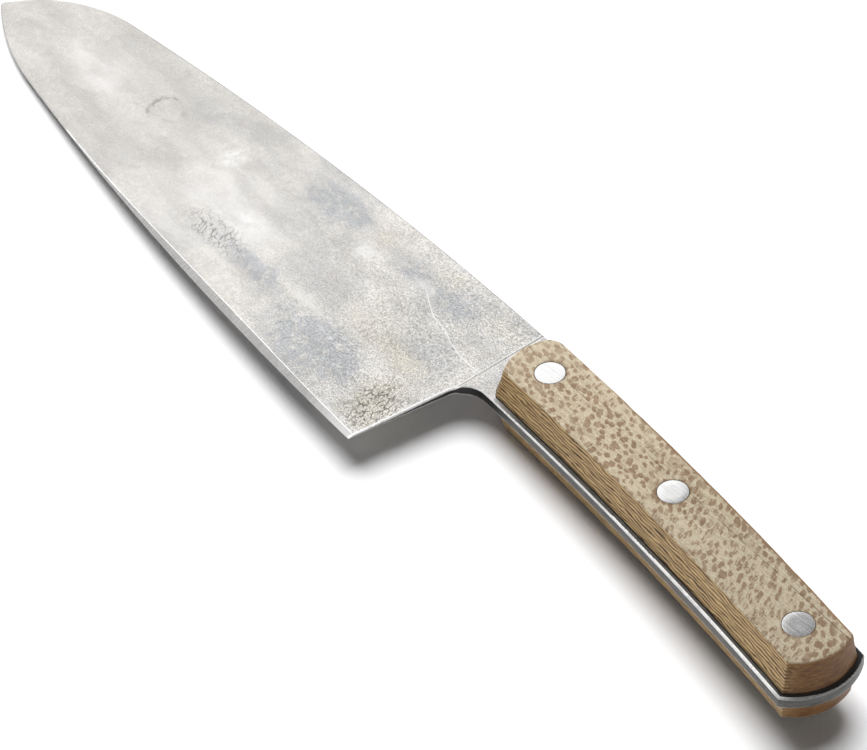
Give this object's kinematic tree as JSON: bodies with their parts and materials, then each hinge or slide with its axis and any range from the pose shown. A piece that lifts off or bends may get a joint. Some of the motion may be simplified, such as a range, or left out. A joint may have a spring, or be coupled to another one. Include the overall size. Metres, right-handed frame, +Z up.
{
  "type": "chef knife",
  "caption": "Full-tang chef knife with a broad ground steel blade, a dropped heel and two riveted wooden handle scales, lying flat on its side.",
  "frame": {"origin": "middle of the knife's box in X and Y, on the flat outer face of the right scale that it lies on", "axes": "+X from butt to tip, +Y from spine to cutting edge, +Z up, out of the left face of the blade"},
  "size_m": [0.343, 0.0594, 0.0188],
  "materials": {
    "blade_steel": "worn carbon steel with a mottled grey patina and a bright ground edge",
    "scale_wood": "quartersawn wood with brown ray fleck on the faces, lightly oiled",
    "rivet_metal": "heads ground flush with the wood and brushed",
    "adhesive": "dark cured epoxy"
  },
  "bodies": {
    "root": {"blade_and_tang": "blade_steel", "scale_left": "scale_wood", "scale_right": "scale_wood", "adhesive_left": "adhesive", "adhesive_right": "adhesive", "rivet_front_socket": "rivet_metal", "rivet_front_stem": "rivet_metal", "rivet_middle_socket": "rivet_metal", "rivet_middle_stem": "rivet_metal", "rivet_rear_socket": "rivet_metal", "rivet_rear_stem": "rivet_metal"}
  },
  "joints": []
}
